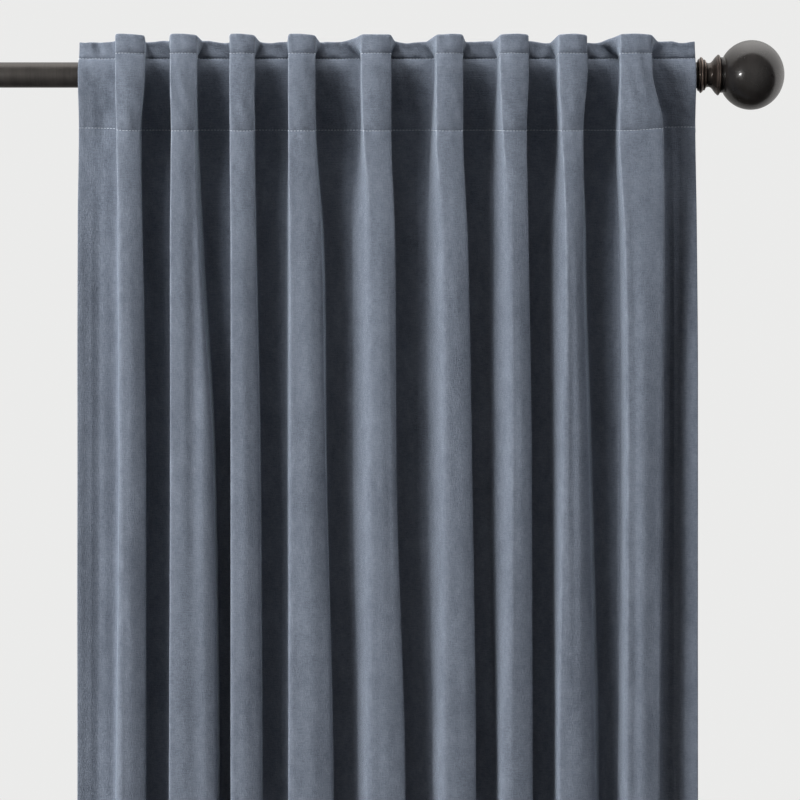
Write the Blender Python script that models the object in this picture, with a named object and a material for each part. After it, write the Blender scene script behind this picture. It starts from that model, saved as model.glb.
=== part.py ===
"""One back-tab velvet curtain panel hanging on a telescoping rod with ball finials and two wall brackets.

Metres, +Z up, +X to the right seen from the room, the wall at Y = 0 and the room towards -Y.
The origin is the middle of the right-hand wall plate's back face.
"""

import math

import bmesh
import bpy
from mathutils import Vector

SEAT = 0.0003            # gap between pieces that touch

# rod: a wide tube with a narrower one sliding out of its left end
ROD_RADIUS = 0.0127
ROD_LENGTH = 0.9144
ROD_WALL = 0.0010
INNER_RADIUS = 0.00953
INNER_LENGTH = 0.9144
INNER_SHOWING = 0.1016   # how far the narrow tube stands out of the wide one
BUSH_LENGTH = 0.020
BUSH_FLANGE = 0.002
PLUG_LENGTH = 0.020
ROD_SEGMENTS = 40

# where the rod hangs
PROJECTION = 0.090       # wall to the rod's axis
RIGHT_OVERHANG = 0.0565  # right bracket to the wide tube's right end
LEFT_OVERHANG = 0.0210   # left bracket to the wide tube's left end

# finials: a turned neck and a ball on a threaded stud
BALL_RADIUS = 0.0347
BALL_FOOT_RADIUS = 0.0179
BALL_FOOT = 0.0036       # length of the foot between the neck and the ball
BALL_SEGMENTS = 32
BALL_STEPS = 14
NECK_SEGMENTS = 32
NECK_LENGTH = 0.0236
NECK_BEAD_RADIUS = 0.0181
NECK_BEAD_LENGTH = 0.0086
NECK_BEAD_STEPS = 7
NECK_HOLLOW = 0.0020         # from the bead to the narrowest point
NECK_FLARE_STEPS = 4
NECK_FLARE_CURVE = 2.2
NECK_WAIST_RADIUS = 0.0121
NECK_FLANGE_RADIUS = 0.0202
NECK_FLANGE = 0.0030
STUD_RADIUS = 0.0030
STUD_IN_PLUG = 0.014
STUD_IN_BALL = 0.016
STUD_SEGMENTS = 16

# brackets
PLATE_WIDTH = 0.028
PLATE_HEIGHT = 0.072
PLATE_THICKNESS = 0.004
PLATE_CORNER = 0.010
BOSS_RADIUS = 0.0100
BOSS_LENGTH = 0.008
ARM_RADIUS = 0.0060
ARM_IN_PLATE = 0.008
ARM_IN_CRADLE = 0.008
CUP_WALL = 0.0020
CUP_WIDTH = 0.020
CUP_RISE = 0.002         # how far the cup's lips stand above the rod's axis
CUP_STEPS = 14
FLANK_STEPS = 4
BLOCK_INSET = 0.003      # how far the block's faces lie inside the cup's outside
BLOCK_WALL = 0.0025      # metal above and below the arm in the cradle's block
CLAMP_RADIUS = 0.0020
CLAMP_HEAD_RADIUS = 0.0050
CLAMP_HEAD = 0.0060
SCREW_SPACING = 0.050
SCREW_RADIUS = 0.0021
SCREW_LENGTH = 0.038
SCREW_HEAD_RADIUS = 0.0043
SCREW_HEAD = 0.0026
HARDWARE_SEGMENTS = 24

# curtain panel
HUNG_WIDTH = 0.621
PANEL_INSET = 0.0010         # panel's right edge to the wide tube's right end
PANEL_LENGTH = 2.134
HEADER_ABOVE_ROD = 0.038     # rod axis to the panel's top edge
UPPER_SEAM_ABOVE_ROD = 0.0195
LOWER_SEAM_BELOW_ROD = 0.0545
TAB_WIDTH = 0.030
TAB_THICKNESS = 0.0012
TAB_TAIL = 0.004             # sewn-down end of a tab beyond each seam
TAB_ARC_STEPS = 12
VELVET_THICKNESS = 0.0020
LINING_THICKNESS = 0.0010
PLEAT_DEPTH = 0.032
FOLD_STEP = 0.005            # how far a fold steps forward before it slants
# hand-dressed folds, left to right, as shares of the hung width
PLEATS = (30, 27, 26, 28, 30, 27, 29, 29, 53)
RECESSES = (36, 26, 32, 34, 46, 45, 38, 31, 24, 30)

CLOTH_BLUE = (0.155, 0.185, 0.225)
LINING_CREAM = (0.62, 0.60, 0.55)
ROD_BRONZE = (0.022, 0.020, 0.019)
BALL_BRONZE = (0.018, 0.017, 0.017)
NECK_BRONZE = (0.060, 0.038, 0.028)
NYLON = (0.50, 0.50, 0.48)
ZINC = (0.42, 0.42, 0.43)

ARM_DROP = ROD_RADIUS + SEAT + CUP_WALL + BLOCK_WALL + ARM_RADIUS
ROD_Z = ARM_DROP
ROD_RIGHT = RIGHT_OVERHANG
ROD_LEFT = ROD_RIGHT - ROD_LENGTH
INNER_LEFT = ROD_LEFT - INNER_SHOWING
LEFT_BRACKET_X = ROD_LEFT + LEFT_OVERHANG


# ---------------------------------------------------------------- helpers

def clear_scene():
    for item in list(bpy.data.objects):
        bpy.data.objects.remove(item, do_unlink=True)


def material(name, colour, roughness, metallic=0.0):
    made = bpy.data.materials.new(name)
    made.use_nodes = True
    shader = made.node_tree.nodes["Principled BSDF"]
    shader.inputs["Base Color"].default_value = (*colour, 1.0)
    shader.inputs["Roughness"].default_value = roughness
    shader.inputs["Metallic"].default_value = metallic
    return made


def empty(name, location, parent=None):
    made = bpy.data.objects.new(name, None)
    made.location = location
    made.parent = parent
    bpy.context.scene.collection.objects.link(made)
    return made


def place(bm, name, finish, parent, location=(0, 0, 0), smooth=False):
    """Turn a bmesh into a named object under its parent."""
    bmesh.ops.recalc_face_normals(bm, faces=bm.faces)
    mesh = bpy.data.meshes.new(name)
    bm.to_mesh(mesh)
    bm.free()
    made = bpy.data.objects.new(name, mesh)
    made.data.materials.append(finish)
    made.parent = parent
    made.location = location
    bpy.context.scene.collection.objects.link(made)
    if smooth:
        mesh.shade_smooth()
        mesh.set_sharp_from_angle(angle=math.radians(35))
    return made


def turned(profile, segments, closed=True):
    """Spin an outline of (distance along X, radius) points round the X axis."""
    bm = bmesh.new()
    verts = [bm.verts.new((x, 0, r)) for x, r in profile]
    pairs = list(zip(verts, verts[1:]))
    if closed:
        pairs.append((verts[-1], verts[0]))
    edges = [bm.edges.new(pair) for pair in pairs]
    bmesh.ops.spin(
        bm,
        geom=verts + edges,
        cent=(0, 0, 0),
        axis=(1, 0, 0),
        dvec=(0, 0, 0),
        angle=math.tau,
        steps=segments,
        use_merge=True,
    )
    bmesh.ops.remove_doubles(bm, verts=bm.verts, dist=0.00001)
    return bm


def extruded(outline, along):
    """Push a flat outline along a vector."""
    bm = bmesh.new()
    face = bm.faces.new([bm.verts.new(point) for point in outline])
    pushed = bmesh.ops.extrude_face_region(bm, geom=[face])["geom"]
    moved = [item for item in pushed if isinstance(item, bmesh.types.BMVert)]
    bmesh.ops.translate(bm, verts=moved, vec=along)
    return bm


def rod_along_x(start, end, radius, segments):
    return turned([(start, 0), (start, radius), (end, radius), (end, 0)], segments, closed=False)


def stepped_pin(steps, segments):
    """A turned pin from (start, end, radius) steps in order along X."""
    profile = [(steps[0][0], 0)]
    for start, end, radius in steps:
        profile.append((start, radius))
        profile.append((end, radius))
    profile.append((steps[-1][1], 0))
    return turned(profile, segments, closed=False)


def cutter(bm, name, parent, location=(0, 0, 0), rotation=(0, 0, 0)):
    made = place(bm, name, bpy.data.materials["cutter"], parent, location)
    made.rotation_euler = rotation
    made.hide_render = True
    made.display_type = "WIRE"
    return made


def boolean(target, tool, operation):
    step = target.modifiers.new(tool.name, "BOOLEAN")
    step.operation = operation
    step.solver = "EXACT"
    step.object = tool


def mitred(points, distance):
    """A path of (x, y) points moved sideways by a distance, to the left of its direction."""
    sides = []
    for start, end in zip(points, points[1:]):
        run = (Vector(end) - Vector(start)).normalized()
        sides.append(Vector((-run.y, run.x)))
    moved = [Vector(points[0]) + sides[0] * distance]
    for point, before, after in zip(points[1:-1], sides, sides[1:]):
        middle = (before + after).normalized()
        moved.append(Vector(point) + middle * (distance / middle.dot(before)))
    moved.append(Vector(points[-1]) + sides[-1] * distance)
    return moved


def ribbon(points, near, far):
    """The closed outline between two sideways offsets of a path."""
    return mitred(points, near) + mitred(points, far)[::-1]


# ---------------------------------------------------------------- rod

def wide_tube(root, bronze):
    inside = ROD_RADIUS - ROD_WALL
    outline = [(ROD_LEFT, inside), (ROD_LEFT, ROD_RADIUS), (ROD_RIGHT, ROD_RADIUS), (ROD_RIGHT, inside)]
    place(turned(outline, ROD_SEGMENTS), "rod_outer_tube", bronze, root, smooth=True)


def tube_bush(root, nylon):
    """Sleeve in the wide tube's mouth that the narrow tube slides through."""
    inside = INNER_RADIUS + SEAT
    sleeve = ROD_RADIUS - ROD_WALL - SEAT
    mouth = ROD_LEFT - SEAT
    outline = [
        (mouth - BUSH_FLANGE, inside),
        (mouth - BUSH_FLANGE, ROD_RADIUS),
        (mouth, ROD_RADIUS),
        (mouth, sleeve),
        (mouth + BUSH_LENGTH, sleeve),
        (mouth + BUSH_LENGTH, inside),
    ]
    place(turned(outline, ROD_SEGMENTS), "rod_tube_bush", nylon, root, smooth=True)


def narrow_tube(carrier, bronze):
    """Local X = 0 is the tube's left end."""
    inside = INNER_RADIUS - ROD_WALL
    outline = [(0, inside), (0, INNER_RADIUS), (INNER_LENGTH, INNER_RADIUS), (INNER_LENGTH, inside)]
    place(turned(outline, ROD_SEGMENTS), "rod_inner_tube", bronze, carrier, smooth=True)


def end_plug(name, parent, nylon, tube_inside, end, inward):
    """Threaded plug in a tube's end; inward is +1 or -1 along X."""
    bore = STUD_RADIUS + SEAT
    outside = tube_inside - SEAT
    outline = [
        (end, bore),
        (end, outside),
        (end + inward * PLUG_LENGTH, outside),
        (end + inward * PLUG_LENGTH, bore),
    ]
    place(turned(outline, NECK_SEGMENTS), name, nylon, parent, smooth=True)


# ---------------------------------------------------------------- finials, built outwards from X = 0

def neck_outline():
    """Round bead, hollow waist and flange, with the stud's bore through them."""
    bore = STUD_RADIUS + SEAT
    end = SEAT + NECK_LENGTH
    bead_half = NECK_BEAD_LENGTH / 2
    outline = [(SEAT, bore)]
    for i in range(NECK_BEAD_STEPS + 1):
        turn = math.pi * i / NECK_BEAD_STEPS
        x = SEAT + bead_half * (1 - math.cos(turn))
        outline.append((x, ROD_RADIUS + (NECK_BEAD_RADIUS - ROD_RADIUS) * math.sin(turn)))
    waist = SEAT + NECK_BEAD_LENGTH + NECK_HOLLOW
    flange = end - NECK_FLANGE
    for i in range(NECK_FLARE_STEPS + 1):
        share = i / NECK_FLARE_STEPS
        spread = (NECK_FLANGE_RADIUS - NECK_WAIST_RADIUS) * share**NECK_FLARE_CURVE
        outline.append((waist + (flange - waist) * share, NECK_WAIST_RADIUS + spread))
    outline += [(end, NECK_FLANGE_RADIUS), (end, bore)]
    return outline


def ball_outline():
    """From the bore's bottom, round the foot and over the ball to its far pole."""
    foot_start = SEAT + NECK_LENGTH + SEAT
    foot_end = foot_start + BALL_FOOT
    centre = foot_end + math.sqrt(BALL_RADIUS**2 - BALL_FOOT_RADIUS**2)
    bore = STUD_RADIUS + SEAT
    bore_end = foot_start + STUD_IN_BALL + SEAT
    outline = [(bore_end, 0), (bore_end, bore), (foot_start, bore), (foot_start, BALL_FOOT_RADIUS)]
    first = math.asin(BALL_FOOT_RADIUS / BALL_RADIUS)
    for i in range(BALL_STEPS + 1):
        turn = first + (math.pi - first) * i / BALL_STEPS
        outline.append((centre - BALL_RADIUS * math.cos(turn), BALL_RADIUS * math.sin(turn)))
    outline[-1] = (centre + BALL_RADIUS, 0)
    return outline


def finial(side, carrier, outward, ball_finish, neck_finish, steel):
    """outward is +1 on the right and -1 on the left."""
    neck = [(outward * x, r) for x, r in neck_outline()]
    place(turned(neck, NECK_SEGMENTS), f"finial_neck_{side}", neck_finish, carrier, smooth=True)
    ball = [(outward * x, r) for x, r in ball_outline()]
    ball_mesh = turned(ball, BALL_SEGMENTS, closed=False)
    place(ball_mesh, f"finial_ball_{side}", ball_finish, carrier, smooth=True)
    stud_end = SEAT + NECK_LENGTH + SEAT + STUD_IN_BALL
    stud = rod_along_x(-outward * STUD_IN_PLUG, outward * stud_end, STUD_RADIUS, STUD_SEGMENTS)
    place(stud, f"finial_stud_{side}", steel, carrier, smooth=True)


# ---------------------------------------------------------------- brackets

def rounded_plate():
    """Upright plate outline on the wall plane with round corners."""
    corner_steps = 6
    points = []
    half_x = PLATE_WIDTH / 2 - PLATE_CORNER
    half_z = PLATE_HEIGHT / 2 - PLATE_CORNER
    for quarter, (side_x, side_z) in enumerate(((1, 1), (-1, 1), (-1, -1), (1, -1))):
        for i in range(corner_steps + 1):
            turn = math.pi / 2 * (quarter + i / corner_steps)
            x = side_x * half_x + PLATE_CORNER * math.cos(turn)
            z = side_z * half_z + PLATE_CORNER * math.sin(turn)
            points.append((x, 0, z))
    return points


def wall_plate(side, bracket, bronze):
    blank = extruded(rounded_plate(), (0, -PLATE_THICKNESS, 0))
    made = place(blank, f"bracket_plate_{side}", bronze, bracket)
    quarter_turn = (0, 0, -math.pi / 2)
    boss_end = PLATE_THICKNESS + BOSS_LENGTH
    boss = rod_along_x(PLATE_THICKNESS / 2, boss_end, BOSS_RADIUS, HARDWARE_SEGMENTS)
    boolean(made, cutter(boss, f"boss_{side}", bracket, rotation=quarter_turn), "UNION")
    socket_floor = boss_end - ARM_IN_PLATE - SEAT
    socket = rod_along_x(socket_floor, boss_end + BOSS_LENGTH, ARM_RADIUS + SEAT, HARDWARE_SEGMENTS)
    boolean(made, cutter(socket, f"socket_{side}", bracket, rotation=quarter_turn), "DIFFERENCE")
    for place_name, z in (("upper", SCREW_SPACING / 2), ("lower", -SCREW_SPACING / 2)):
        hole = rod_along_x(-PLATE_THICKNESS, 2 * PLATE_THICKNESS, SCREW_RADIUS + SEAT, HARDWARE_SEGMENTS)
        tool = cutter(hole, f"hole_{place_name}_{side}", bracket, (0, 0, z), quarter_turn)
        boolean(made, tool, "DIFFERENCE")


def wall_screws(side, bracket, steel):
    """Pan-head screws: the head on the plate's front face and the shank in the wall."""
    under_head = PLATE_THICKNESS + SEAT
    for place_name, z in (("upper", SCREW_SPACING / 2), ("lower", -SCREW_SPACING / 2)):
        steps = [
            (under_head - SCREW_LENGTH, under_head, SCREW_RADIUS),
            (under_head, under_head + SCREW_HEAD, SCREW_HEAD_RADIUS),
        ]
        name = f"wall_screw_{place_name}_{side}"
        made = place(stepped_pin(steps, STUD_SEGMENTS), name, steel, bracket, (0, 0, z), smooth=True)
        made.rotation_euler = (0, 0, -math.pi / 2)


def bracket_arm(side, bracket, bronze):
    start = PLATE_THICKNESS + BOSS_LENGTH - ARM_IN_PLATE
    end = PROJECTION - block_half() + ARM_IN_CRADLE
    bar = rod_along_x(start, end, ARM_RADIUS, HARDWARE_SEGMENTS)
    made = place(bar, f"bracket_arm_{side}", bronze, bracket, smooth=True)
    made.rotation_euler = (0, 0, -math.pi / 2)


def arc(radius, start, end, steps):
    """Points along an arc round the rod's axis, as (y, z)."""
    turns = [start + (end - start) * i / steps for i in range(steps + 1)]
    return [(radius * math.cos(turn), radius * math.sin(turn)) for turn in turns]


def block_half():
    """Half the depth of the cradle's block, front to back."""
    return ROD_RADIUS + SEAT + CUP_WALL - BLOCK_INSET


def cradle_outline():
    """Cup for the rod over the block that holds the arm, as (y, z) from the rod's axis."""
    inside = ROD_RADIUS + SEAT
    outside = inside + CUP_WALL
    half = block_half()
    bottom = -ARM_DROP - ARM_RADIUS - BLOCK_WALL
    meet = math.acos(half / outside)
    points = [(-outside, CUP_RISE), (-inside, CUP_RISE)]
    points += arc(inside, math.pi, math.tau, CUP_STEPS)
    points += [(inside, CUP_RISE), (outside, CUP_RISE)]
    points += arc(outside, 0, -meet, FLANK_STEPS)
    points += [(half, bottom), (-half, bottom)]
    points += arc(outside, math.pi + meet, math.pi, FLANK_STEPS)
    return points


def cradle(side, bracket, bronze):
    outline = [(-CUP_WIDTH / 2, y - PROJECTION, z + ROD_Z) for y, z in cradle_outline()]
    made = place(extruded(outline, (CUP_WIDTH, 0, 0)), f"bracket_cradle_{side}", bronze, bracket)
    back = PROJECTION - block_half()
    socket_floor = back + ARM_IN_CRADLE + SEAT
    socket = rod_along_x(back - ARM_IN_CRADLE, socket_floor, ARM_RADIUS + SEAT, HARDWARE_SEGMENTS)
    tool = cutter(socket, f"cradle_socket_{side}", bracket, rotation=(0, 0, -math.pi / 2))
    boolean(made, tool, "DIFFERENCE")
    tap = rod_along_x(-2 * ARM_DROP, 0, CLAMP_RADIUS + SEAT, STUD_SEGMENTS)
    tool = cutter(tap, f"tap_{side}", bracket, (0, -PROJECTION, ROD_Z), (0, -math.pi / 2, 0))
    boolean(made, tool, "DIFFERENCE")


def clamp_screw(side, carrier, steel):
    """Thumb screw up through the cradle's block, its tip at the carrier just under the rod."""
    head_top = ARM_DROP + ARM_RADIUS + BLOCK_WALL - ROD_RADIUS
    steps = [
        (-head_top - CLAMP_HEAD, -head_top, CLAMP_HEAD_RADIUS),
        (-head_top, 0, CLAMP_RADIUS),
    ]
    made = place(stepped_pin(steps, STUD_SEGMENTS), f"clamp_screw_{side}", steel, carrier, smooth=True)
    made.rotation_euler = (0, -math.pi / 2, 0)


def whole_bracket(side, x, bronze, steel):
    bracket = empty(f"bracket_{side}", (x, 0, 0))
    wall_plate(side, bracket, bronze)
    wall_screws(side, bracket, steel)
    bracket_arm(side, bracket, bronze)
    cradle(side, bracket, bronze)
    carrier = empty(f"clamp_{side}", (0, -PROJECTION, ROD_Z - ROD_RADIUS - SEAT), bracket)
    clamp_screw(side, carrier, steel)


# ---------------------------------------------------------------- curtain

def panel_edges():
    right = ROD_RIGHT - PANEL_INSET
    return right - HUNG_WIDTH, right


def tab_centres():
    """X of the middle of each recess, where a tab holds the panel to the rod.

    A recess at the panel's side can be narrower than its tab, which then lies along that side.
    """
    scale = HUNG_WIDTH / (sum(PLEATS) + sum(RECESSES))
    left_edge, right_edge = panel_edges()
    edge = left_edge
    centres = []
    for recess, pleat in zip(RECESSES, PLEATS + (0,)):
        centres.append(edge + recess * scale / 2)
        edge += (recess + pleat) * scale
    centres[0] = max(centres[0], left_edge + TAB_WIDTH / 2)
    centres[-1] = min(centres[-1], right_edge - TAB_WIDTH / 2)
    return centres


def fold_path(left, right, slant):
    """Back face of the velvet seen from above, as (x, distance towards the room).

    It lies flat at the tab, steps forward, and slants to the front, so that neighbouring folds
    can be pushed together without touching. The last fold has no slant.
    """
    path = [(left, 0), (right, 0)]
    if slant:
        path += [(right, FOLD_STEP), (right + slant, PLEAT_DEPTH - VELVET_THICKNESS)]
    return path


def fold_layers(number, path, carrier, velvet, lining):
    """The velvet and the lining of one fold, as upright ribbons round one path."""
    back = -ROD_RADIUS - SEAT - LINING_THICKNESS - SEAT
    bottom = HEADER_ABOVE_ROD - PANEL_LENGTH
    layers = (
        ("face_fold", velvet, 0, VELVET_THICKNESS),
        ("lining_fold", lining, -SEAT, -SEAT - LINING_THICKNESS),
    )
    for kind, finish, near, far in layers:
        outline = [(x, back - forward, bottom) for x, forward in ribbon(path, near, far)]
        place(extruded(outline, (0, 0, PANEL_LENGTH)), f"{kind}_{number:02d}", finish, carrier)


def tab_path():
    """Down behind the rod from the upper seam to the lower one, as (y, z) from the rod's axis."""
    radius = ROD_RADIUS + SEAT + TAB_THICKNESS / 2
    front = -ROD_RADIUS + TAB_THICKNESS / 2
    upper = (front, UPPER_SEAM_ABOVE_ROD)
    lower = (front, -LOWER_SEAM_BELOW_ROD)
    first = math.atan2(upper[1], upper[0]) - math.acos(radius / math.hypot(*upper))
    last = math.atan2(lower[1], lower[0]) + math.acos(radius / math.hypot(*lower))
    path = [(front, upper[1] + TAB_TAIL), upper]
    for i in range(TAB_ARC_STEPS + 1):
        turn = first + (last - first) * i / TAB_ARC_STEPS
        path.append((radius * math.cos(turn), radius * math.sin(turn)))
    return path + [lower, (front, lower[1] - TAB_TAIL)]


def back_tab(number, carrier, lining):
    half = TAB_THICKNESS / 2
    outline = [(-TAB_WIDTH / 2, y, z) for y, z in ribbon(tab_path(), -half, half)]
    place(extruded(outline, (TAB_WIDTH, 0, 0)), f"back_tab_{number:02d}", lining, carrier)


def panel(velvet, lining, tape):
    centres = tab_centres()
    left_edge, right_edge = panel_edges()
    layers = SEAT + LINING_THICKNESS
    for index, x in enumerate(centres):
        last = index == len(centres) - 1
        left = left_edge - x if index == 0 else -TAB_WIDTH / 2
        right = right_edge - x if last else TAB_WIDTH / 2 - layers
        slant = 0 if last else centres[index + 1] - x - TAB_WIDTH
        carrier = empty(f"tab_{index + 1:02d}", (x, -PROJECTION, ROD_Z))
        fold_layers(index + 1, fold_path(left, right, slant), carrier, velvet, lining)
        back_tab(index + 1, carrier, tape)


# ---------------------------------------------------------------- the whole object

def build():
    clear_scene()
    material("cutter", (1, 0, 0), 0.5)
    bronze = material("rod_bronze", ROD_BRONZE, 0.42, 0.6)
    ball_finish = material("ball_bronze", BALL_BRONZE, 0.16, 0.5)
    neck_finish = material("neck_bronze", NECK_BRONZE, 0.38, 0.9)
    nylon = material("nylon", NYLON, 0.6)
    steel = material("zinc_steel", ZINC, 0.35, 1.0)
    velvet = material("velvet", CLOTH_BLUE, 0.9)
    lining = material("lining_cloth", LINING_CREAM, 0.9)
    tape = material("tab_cloth", CLOTH_BLUE, 0.85)

    root = empty("rod_axis", (0, -PROJECTION, ROD_Z))
    wide_tube(root, bronze)
    tube_bush(root, nylon)
    end_plug("rod_plug_right", root, nylon, ROD_RADIUS - ROD_WALL, ROD_RIGHT, -1)

    slider = empty("inner_rod", (INNER_LEFT, 0, 0), root)
    narrow_tube(slider, bronze)
    end_plug("rod_plug_left", slider, nylon, INNER_RADIUS - ROD_WALL, 0, 1)

    finial("right", empty("finial_right", (ROD_RIGHT, 0, 0), root), 1, ball_finish, neck_finish, steel)
    finial("left", empty("finial_left", (0, 0, 0), slider), -1, ball_finish, neck_finish, steel)

    whole_bracket("right", 0, bronze, steel)
    whole_bracket("left", LEFT_BRACKET_X, bronze, steel)
    panel(velvet, lining, tape)


build()
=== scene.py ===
import math

import bmesh
import bpy
import numpy as np
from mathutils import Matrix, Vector


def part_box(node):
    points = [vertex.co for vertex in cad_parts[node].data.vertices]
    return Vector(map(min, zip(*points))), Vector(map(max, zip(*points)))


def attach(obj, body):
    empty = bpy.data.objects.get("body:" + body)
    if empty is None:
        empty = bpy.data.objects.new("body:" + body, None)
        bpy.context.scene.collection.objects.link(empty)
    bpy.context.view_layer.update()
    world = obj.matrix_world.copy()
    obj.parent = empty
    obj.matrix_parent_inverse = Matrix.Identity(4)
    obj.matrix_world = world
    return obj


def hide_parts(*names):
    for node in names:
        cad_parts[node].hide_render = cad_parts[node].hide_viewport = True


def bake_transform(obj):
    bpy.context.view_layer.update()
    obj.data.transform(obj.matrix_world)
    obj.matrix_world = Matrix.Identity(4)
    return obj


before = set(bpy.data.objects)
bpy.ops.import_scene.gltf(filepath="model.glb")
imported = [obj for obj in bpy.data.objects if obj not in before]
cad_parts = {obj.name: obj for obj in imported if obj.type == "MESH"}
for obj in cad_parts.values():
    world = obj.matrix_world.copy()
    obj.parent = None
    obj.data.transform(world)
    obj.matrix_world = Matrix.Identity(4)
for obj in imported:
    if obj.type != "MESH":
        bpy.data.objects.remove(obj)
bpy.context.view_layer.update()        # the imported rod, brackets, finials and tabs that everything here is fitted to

MM = 0.001

# ---------------------------------------------------------------- places read off the frame


TABS = [f"back_tab_{number:02d}" for number in range(1, 11)]
FACE_FOLDS = [f"face_fold_{number:02d}" for number in range(1, 11)]
LINING_FOLDS = [f"lining_fold_{number:02d}" for number in range(1, 11)]
TAB_BODIES = [f"tab_{number:02d}" for number in range(1, 10)] + ["root"]

wide_low, wide_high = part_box("rod_outer_tube")
narrow_low, narrow_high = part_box("rod_inner_tube")
ROD_RADIUS = (wide_high.z - wide_low.z) / 2
NARROW_RADIUS = (narrow_high.z - narrow_low.z) / 2
ROD_Y = (wide_high.y + wide_low.y) / 2
ROD_Z = (wide_high.z + wide_low.z) / 2
PANEL_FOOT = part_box("face_fold_01")[0].z
PANEL_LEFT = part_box("face_fold_01")[0].x

# ---------------------------------------------------------------- cloth sizes, in metres

SIDE_INSET = 2.1 * MM        # the drawn-in cloth stands this far inside its flat ribbons
CLOTH_WIDTH = 617 * MM       # hung, edge to edge
FLAT_WIDTH = 1.27            # finished width before it is pleated
SIDE_HEM = 38 * MM
BOTTOM_HEM = 100 * MM
HEADER_TOP = ROD_Z + 32.2 * MM
UPPER_SEAM = ROD_Z + 15.2 * MM
LOWER_SEAM = ROD_Z - 56.5 * MM
PLEAT_SEAM_DROP = 5 * MM     # the lower seam sits lower on the pleats than behind them
WRAP_RADIUS = ROD_RADIUS + 4.7 * MM   # cloth over the front of the rod
PLEAT_FRONT = ROD_Y - 51.5 * MM
RECESS_FRONT = ROD_Y - WRAP_RADIUS
HEM_BEHIND = 2.0 * MM
LINING_BEHIND = 3.0 * MM
FACING_BEHIND = 4.1 * MM
LINING_THICKNESS = 0.45 * MM
TAB_THICKNESS = 1.1 * MM
TAB_GAP = 1.4 * MM           # from the header's facing to the middle of a tab's end
TAB_RADIUS = ROD_RADIUS + 0.9 * MM    # of a tab's middle, behind the rod
LINING_MARGIN = 27 * MM
LINING_RISE = 25 * MM
LINING_HEM = 30 * MM
SEAM_MARGIN = 4 * MM         # the lining's stitches run this far in from its sides

COLUMN_SPACING = 4.0 * MM    # of the cloth's mesh, where it runs straight
HEM_FACETS = 3               # steps round each folded edge
MID_DROP = -0.36             # a height at which the cloth hangs freely
LOWER_DROP = -0.75           # the folds hardly change below this height

# heights at which the folds were dressed: between the seams, at the lower seam, then down the drop
DRESSED = (ROD_Z, LOWER_SEAM, -0.156, -0.363, -0.699, PANEL_FOOT)

# For each pleat, in mm from the panel's left edge at those heights: its left and its right front edge, how
# far its left side leans out to its foot, and how far its right side is tucked in at the foot. Then, from
# top to bottom: how round its left and right edges are and how far its right edge is set back. Last, how
# far its left and right sides spread at the free top of the header.
PLEATS = (
    ((40, 41, 43, 44, 42, 41), (69, 64, 67, 70, 70, 66),
     (0, 1, 4, 4, 5, 9), (3, 2, 3, 3, 3, -4), (8, 3, 6), (4, 0)),
    ((94, 95, 94, 94, 93, 92), (121, 119, 123, 137, 141, 136),
     (0, 0, 0, 0, 0, 6), (3, 0, -3, 0, 0, -4), (3, 8, 3), (5, 6)),
    ((153, 153, 154, 154, 154, 156), (178, 177, 179, 183, 185, 188),
     (0, 0, 0, 1, 1, 6), (3, 1, 1, 1, 1, -4), (3, 5, 4), (3, 6)),
    ((211, 211, 212, 212, 211, 212), (238, 238, 244, 248, 256, 250),
     (0, 1, 3, 3, 1, 7), (3, 1, -2, 0, 2, -4), (3, 6, 4), (3, 7)),
    ((283, 285, 291, 291, 290, 288), (313, 313, 317, 318, 327, 325),
     (1, 3, 18, 18, 12, 10), (3, 3, 2, 2, 2, -4), (16, 3, 3), (15, 7)),
    ((357, 357, 363, 365, 363, 360), (384, 384, 389, 393, 397, 396),
     (1, 4, 14, 15, 10, 9), (2, 2, 1, 2, 2, -4), (15, 3, 4), (9, 6)),
    ((420, 423, 428, 430, 422, 422), (449, 447, 449, 452, 453, 455),
     (1, 8, 15, 18, 4, 8), (2, 2, 1, 1, 1, -4), (15, 3, 4), (6, 1)),
    ((478, 481, 485, 482, 478, 480), (507, 503, 503, 508, 514, 512),
     (0, 2, 13, 8, 2, 8), (2, 0, -5, -6, -7, -8), (3, 8, 6), (6, 1)),
    ((539, 538, 543, 545, 543, 542), (571, 582, 583, 582, 578, 580),
     (-2, 0, 2, 3, 4, 8), (1, -3, -2, -2, -3, -10), (6, 3, 2), (18, 12)),
)

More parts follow.
